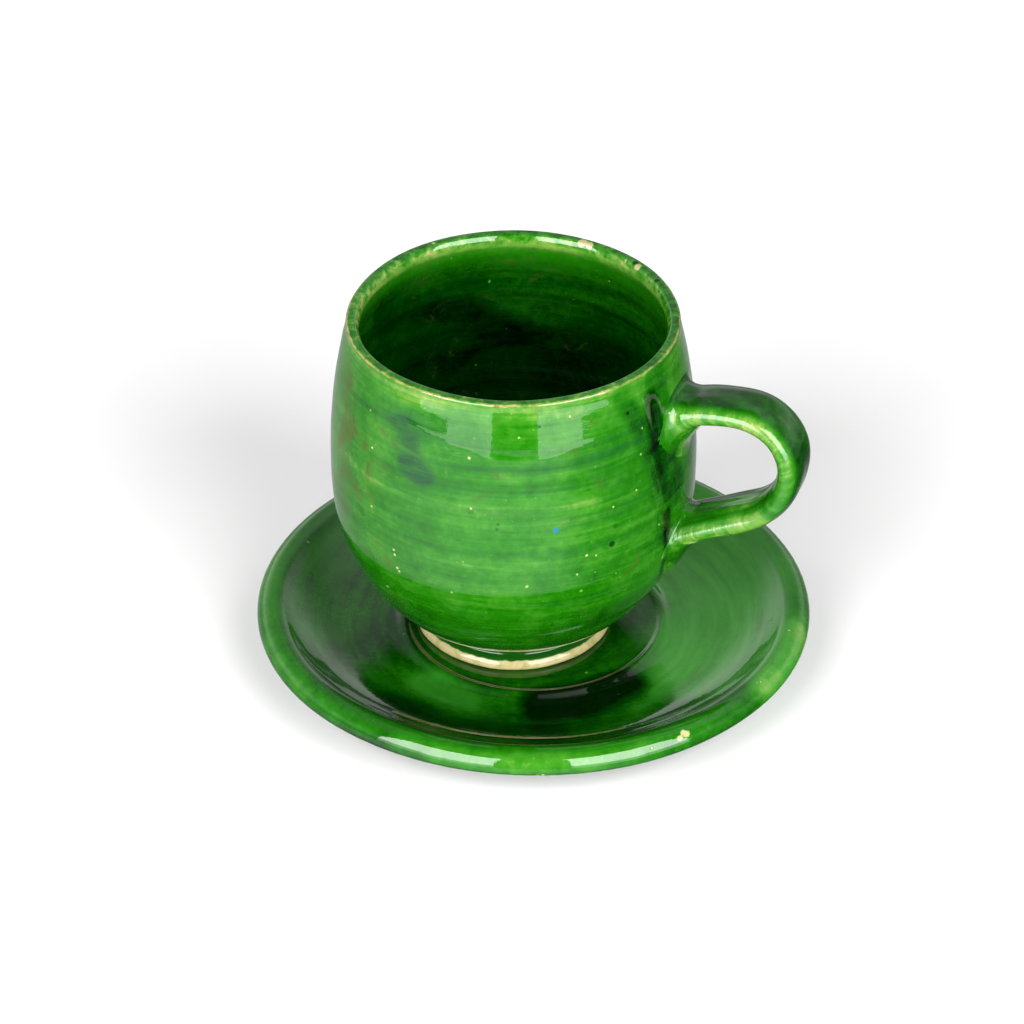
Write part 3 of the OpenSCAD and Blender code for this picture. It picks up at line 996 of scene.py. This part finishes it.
def cup_glaze():
    n = Material("cup_copper_glaze")
    flow = streaks(n, 26)
    # Millimetres along the skin from the lip's crest: below 0 on the outside, above 0 on the inside
    lip = n.value_of("lip_mm")
    outside = n.math("LESS_THAN", lip, 0.0)
    from_lip = n.times(n.waver(380.0, 3.0, 0.6), 1.1, lip)
    # The glaze thins towards the lip's outer edge, which shows a broken line of clay
    band = n.times(n.ramp(from_lip, -9.0, -2.2), n.ramp(from_lip, -0.2, -1.0))
    line = n.times(n.ramp(from_lip, -1.3, -1.0), n.ramp(from_lip, -0.4, -0.65))
    line = n.times(line, n.ramp(n.noise(140.0, 4.0, 0.65, 0.3), 0.36, 0.58, 0.15, 1.0))
    crest = n.times(n.ramp(from_lip, -1.2, -0.4), n.ramp(from_lip, 4.6, 2.6))
    worn = n.times(crest, n.waver(330.0, 4.0, 0.65, 0.4))
    # A lighter band on the lip's inner roll: thinner glaze there, and a painted highlight.
    inner_roll = n.times(n.ramp(from_lip, 1.0, 2.6), n.ramp(from_lip, 8.0, 4.5))
    # Inside, the strokes are calmer and the glaze is darker, partly painted shade, with dark swirls; more
    # painted shade deepens down the inner wall, darkest between lip and floor
    calm = n.ramp(lip, 2, 8, 1.0, 0.45)
    deep, floor_light = n.ramp(lip, 6, 60), n.ramp(lip, 62, 88)
    swirl = n.ramp(n.noise(1.0, 3.0, 0.5, 1.2, n.scaled(16, 16, 46, 0.35)), 0.46, 0.62)
    inside_dark = n.times(n.ramp(lip, 4, 12), n.times(swirl, 0.1, 0.2))
    # The outer wall darkens towards its foot: partly thicker glaze, partly the saucer's dark reflection
    # painted in.
    low = n.times(n.ramp(lip, -58.0, -70.0), outside)
    runs, soft_edge = n.value_of("thin"), n.waver(160.0, 3.0, 0.6)
    torn = n.waver(110.0, 5.0, 0.65, 0.5)
    thinness_and_shade = n.total(
        (n.times(flow, calm), 1.0), (runs, 1.0), (n.times(runs, soft_edge), 1.2),
        (n.times(torn, n.ramp(lip, -1.0, -6.0)), 0.34), (band, 0.14), (line, 0.22), (worn, 1.3),
        (inner_roll, 0.17), (deep, -0.2), (floor_light, 0.26), (inside_dark, -1.0), (low, -0.1),
        (1.0, 0.545))
    for angle, height, radius, amount in CUP_DOTS:
        thinness_and_shade = n.times(n.dot_at(skin_point(angle, height), radius), amount, thinness_and_shade)
    ragged = n.times(soft_edge, 2.4)
    for angle, out, height, radius, amount in LIP_SPOTS:
        x, y = out * unit(angle)
        place = ((CUP_X + x) * MM, y * MM, (CUP_Z + height) * MM)
        thinness_and_shade = n.times(n.dot_at(place, radius, ragged), amount, thinness_and_shade)
    smeared = n.noise(1.0, 4.0, 0.65, 0.6, n.scaled(60, 60, 240, 0.1))
    smudge = n.times(n.ramp(n.times(torn, 2.6, n.value_of("smudge")), 0.05, 1.50),
                     n.ramp(smeared, 0.34, 0.62, 0.42, 1.0))
    veins = n.ramp(n.noise(1.0, 3.0, 0.55, 0.3, n.scaled(10, 10, 230, 0.2)), 0.52, 0.74)
    veins = n.times(veins, n.times(outside, n.ramp(lip, -4.0, -14.0)))
    olive = n.ramp(n.times(torn, 4.5, n.value_of("olive")), 0.50, 1.3)
    specks = n.times(line, n.ramp(n.noise(900.0, 2.0, 0.5), 0.54, 0.66))
    fleck = n.dot_at(skin_point(-57.0, 59.5), 1.1)
    return finish_glaze(n, thinness_and_shade, flow, (
        (n.times(veins, 0.45), TEAL), (n.times(smudge, 0.98), TEAL),
        (n.times(olive, 0.75), OLIVE_BROWN), (n.times(line, 0.6), TAN),
        (n.times(specks, 0.7), RUST), (n.times(fleck, 0.8), BLUE_FLECK)))


def handle_glaze():
    """Thin and yellow along the strap's rubbed edges, with ribs across it and bands along it, and painted
    shade that darkens its outer face.
    """
    n = Material("handle_copper_glaze")
    flow = streaks(n, 1.2)
    along, across = n.value_of("along_mm"), n.value_of("across_mm")
    drawn_across = n.fed("ShaderNodeCombineXYZ", (along, n.times(across, 0.22)))
    drawn_along = n.fed("ShaderNodeCombineXYZ", (n.times(along, 0.05), across))
    ribs = n.waver(0.42, 4.0, 0.6, 0.5, drawn_across)
    bands = n.waver(0.36, 3.0, 0.5, 0.4, drawn_along)
    edge, inner = n.value_of("edge"), n.value_of("inner")
    rubbed = n.times(edge, n.times(ribs, 2.4, 1.0))
    torn = n.waver(120.0, 5.0, 0.65, 0.6)
    # The strap's outer face is painted darker: painted shade.
    thinness_and_shade = n.total(
        (flow, 1.25), (torn, 0.45), (rubbed, 0.24), (n.value_of("outer"), -0.24), (inner, -0.02),
        (n.times(bands, inner), 1.1), (n.value_of("thin"), 0.6), (1.0, 0.52))
    return finish_glaze(n, thinness_and_shade, n.times(n.times(ribs, edge), 3.0, flow))


def saucer_glaze():
    n = Material("saucer_copper_glaze")
    flow = streaks(n, 1.0)
    # Noise that changes fast from ring to ring and slowly round each ring
    heading = n.new("ShaderNodeVectorMath", operation="NORMALIZE")
    n.put(heading.inputs[0], n.object_space)
    split = n.new("ShaderNodeSeparateXYZ")
    n.put(split.inputs[0], heading.outputs[0])
    x, y = (n.times(split.outputs[k], 1.6) for k in (0, 1))
    polar = n.fed("ShaderNodeCombineXYZ", (n.times(n.value_of("ring_mm"), 0.30), x, y))
    turned = n.waver(1.0, 4.0, 0.6, 0.3, polar)
    # Millimetres along the skin from the widest ring: below 0 underneath, above 0 on top
    rim = n.value_of("rim_mm")
    roll = n.times(n.ramp(rim, -3.0, 0.0), n.ramp(rim, 8.0, 3.0))
    # The dish floor is darker, and the rim's lower side and the underside are painted darker: painted
    # shade.
    dish, underside = n.ramp(rim, 4.5, 11.0), n.ramp(rim, 3.0, -1.0)
    runs, soft_edge = n.value_of("thin"), n.waver(90.0, 3.0, 0.6)
    thinness_and_shade = n.total(
        (flow, 0.55), (turned, 0.4), (n.times(roll, flow), 0.9), (roll, 0.08), (dish, -0.15),
        (underside, -0.16), (runs, 0.9), (n.times(runs, soft_edge), 0.8), (1.0, 0.42))
    ragged = n.times(n.waver(420.0, 3.0, 0.6), 2.6)
    for (x, y, z), radius, amount in SAUCER_SPOTS:
        thinness_and_shade = n.times(n.dot_at((x * MM, y * MM, z * MM), radius, ragged), amount, thinness_and_shade)
    milky = n.times(n.ramp(runs, 0.04, 0.3), n.times(turned, 1.2, 0.55))
    return finish_glaze(n, thinness_and_shade, n.times(turned, 0.25), [(milky, MILKY_GREEN)])


def foot_clay():
    """Cream clay under a thin wiped glaze, which stays green in the groove."""
    n = Material("wiped_clay")
    cloud = n.noise(170.0, 4.0, 0.6, 0.4)
    grain = n.noise(900.0, 2.0, 0.6)
    glazed = n.ramp(n.times(n.waver(320.0, 3.0, 0.6), 1.0, n.value_of("glazed")), 0.35, 0.65)
    clay = n.mix(n.ramp(cloud, 0.48, 0.74), CREAM_CLAY, GREEN_HAZE)
    clay = n.mix(n.times(n.ramp(grain, 0.5, 0.72), 0.5), clay, TAN)
    n.look("Base Color", n.mix(glazed, clay, GROOVE_GREEN))
    n.look("Roughness", n.ramp(cloud, 0.3, 0.7, 0.06, 0.16))
    n.look("Normal", n.bump(grain, 0.03))
    return n.material


# -------- room, light and camera

# Metres from here on
NEAR_FLOOR_R = 0.38
FAR_FLOOR_R = 4.0
FLOOR_SIDES = 96
NEAR_GREY = (0.74, 0.74, 0.74)
FAR_GREY = (0.95, 0.95, 0.95)


def floor_piece(name, material, inner, outer):
    """A flat ring of floor, or a disc if inner is 0."""
    sides = FLOOR_SIDES
    ring = [(math.cos(t), math.sin(t)) for t in np.arange(sides) * 2 * math.pi / sides]
    radii = (outer, inner) if inner else (outer,)
    points = [(r * x, r * y, 0.0) for r in radii for x, y in ring]
    faces = belt(0, sides, sides) if inner else [tuple(range(sides))]
    mesh = bpy.data.meshes.new(name)
    mesh.from_pydata(points, [], faces)
    mesh.materials.append(material)
    obj = add_object(name, mesh)
    return obj


def floor():
    """The table top, with a far part that only the camera sees, so light can come from its edges."""
    n = Material("pale_floor")
    away = n.ramp(n.measure("LENGTH", n.object_space), 0.25, 1.1)
    n.look("Base Color", n.mix(away, NEAR_GREY, FAR_GREY))
    n.look("Roughness", 0.7)
    n.look("Specular IOR Level", 0.1)
    near = floor_piece("floor_near", n.material, 0.0, NEAR_FLOOR_R)
    far = floor_piece("floor_far", n.material, NEAR_FLOOR_R, FAR_FLOOR_R)
    near.visible_glossy = far.visible_glossy = False
    far.visible_diffuse = far.visible_shadow = False


CAMERA_AZIMUTH = 20.0
CAMERA_PITCH = 34.1
CAMERA_LENS = 200.0
CAMERA_AT = (0.4259, -1.18702, 0.89861)


def camera():
    data = bpy.data.cameras.new("camera")
    data.lens = CAMERA_LENS
    data.sensor_width = 36.0
    data.clip_start, data.clip_end = 0.05, 30
    obj = add_object("camera", data)
    obj.location = CAMERA_AT
    obj.rotation_euler = (math.radians(90 - CAMERA_PITCH), 0, math.radians(CAMERA_AZIMUTH))
    bpy.context.scene.camera = obj


WINDOW_AWAY = 2.0
WINDOW_AZIMUTH = 37.0
WINDOW_WIDE = 1.7
# Each pane's two sides as shares of the window's width from its outer side, its lowest and highest
# edge in metres, and its radiance
WINDOW_PANES = [(0.0, 0.4, -0.3, 0.28, 3.0), (0.0, 0.4, 0.28, 2.4, 10.5),
                (0.4, 1.0, -0.43, 0.09, 3.0), (0.4, 1.0, 0.09, 2.4, 10.5)]


def window(name, side):
    """Upright panes of soft light on one side of the camera, -1 or 1."""
    azimuth = CAMERA_AZIMUTH + side * WINDOW_AZIMUTH
    middle, across = WINDOW_AWAY * unit(azimuth - 90), unit(azimuth)
    for index, (start, end, low, high, radiance) in enumerate(WINDOW_PANES):
        data = bpy.data.lights.new(f"{name}_{index}", "AREA")
        data.shape = "RECTANGLE"
        data.size, data.size_y = WINDOW_WIDE * (end - start), high - low
        data.energy = radiance * math.pi * data.size * data.size_y
        obj = add_object(data.name, data)
        x, y = middle + across * side * WINDOW_WIDE * (0.5 - (start + end) / 2)
        obj.location = (x, y, (low + high) / 2)
        obj.rotation_euler = (math.radians(90), 0, math.radians(azimuth))
        obj.visible_camera = False


def room():
    """Pale room light: dark overhead and between the windows, brighter low down behind and beside."""
    world = bpy.data.worlds.new("studio")
    bpy.context.scene.world = world
    world.use_nodes = True
    n = Nodes(world.node_tree)
    direction = n.new("ShaderNodeTexCoord").outputs["Generated"]
    up = n.measure("DOT_PRODUCT", direction, (0, 0, 1))
    front = n.measure("DOT_PRODUCT", direction, (*unit(CAMERA_AZIMUTH - 90), 0))
    right = n.measure("DOT_PRODUCT", direction, (*unit(CAMERA_AZIMUTH), 0))
    behind = n.ramp(front, 0.35, -0.2, 0.04, 1.0)
    beside = n.ramp(n.times(right, right), 0.5, 0.85, 0.0, 0.7)
    behind = n.math("MAXIMUM", behind, beside)
    level = n.times(behind, n.ramp(up, 0.15, 0.55, 1.2, 0.38))
    level = n.times(level, n.ramp(up, -0.1, 0.25, 0.25, 1.0))
    level = n.times(level, n.ramp(right, 0.0, 0.5, 1.0, 0.72))
    high = n.times(behind, n.ramp(right, -0.5, 0.5, 0.3, 0.75))
    high = n.times(high, n.ramp(up, 0.88, 0.96, 1.0, 0.12))
    sky = n.blend(n.ramp(up, 0.5, 0.75), level, high)
    # Below the horizon, what the glaze reflects is the table round the object
    table = n.times(n.ramp(front, -0.3, 0.55, 0.42, 1.2), n.ramp(up, -0.9, -0.62, 0.5, 1.0))
    table = n.times(table, n.ramp(right, 0.25, 0.7, 1.0, 0.12))
    shade = world.node_tree.nodes["Background"]
    n.put(shade.inputs["Color"], (1, 1, 1, 1))
    n.put(shade.inputs["Strength"], n.blend(n.ramp(up, -0.20, -0.24), sky, table))


# -------- build

camera()
room()
window("window_left", -1)
window("window_right", 1)
floor()
cup_mat, strap_mat, saucer_mat, clay_mat = cup_glaze(), handle_glaze(), saucer_glaze(), foot_clay()
cup_body(cup_mat)
cup_foot(clay_mat)
handle_strap(strap_mat)
blanket("handle_upper_luting", "handle_upper_pad", 12.0, 64.5, 86.0, pad_lift, strap_mat)
blanket("handle_lower_tongue", "handle_lower_tail", 9.6, 21.5, 49.5, tail_lift, strap_mat)
saucer_dish(saucer_mat)
saucer_foot(clay_mat)

bpy.context.scene.view_settings.view_transform = "Standard"
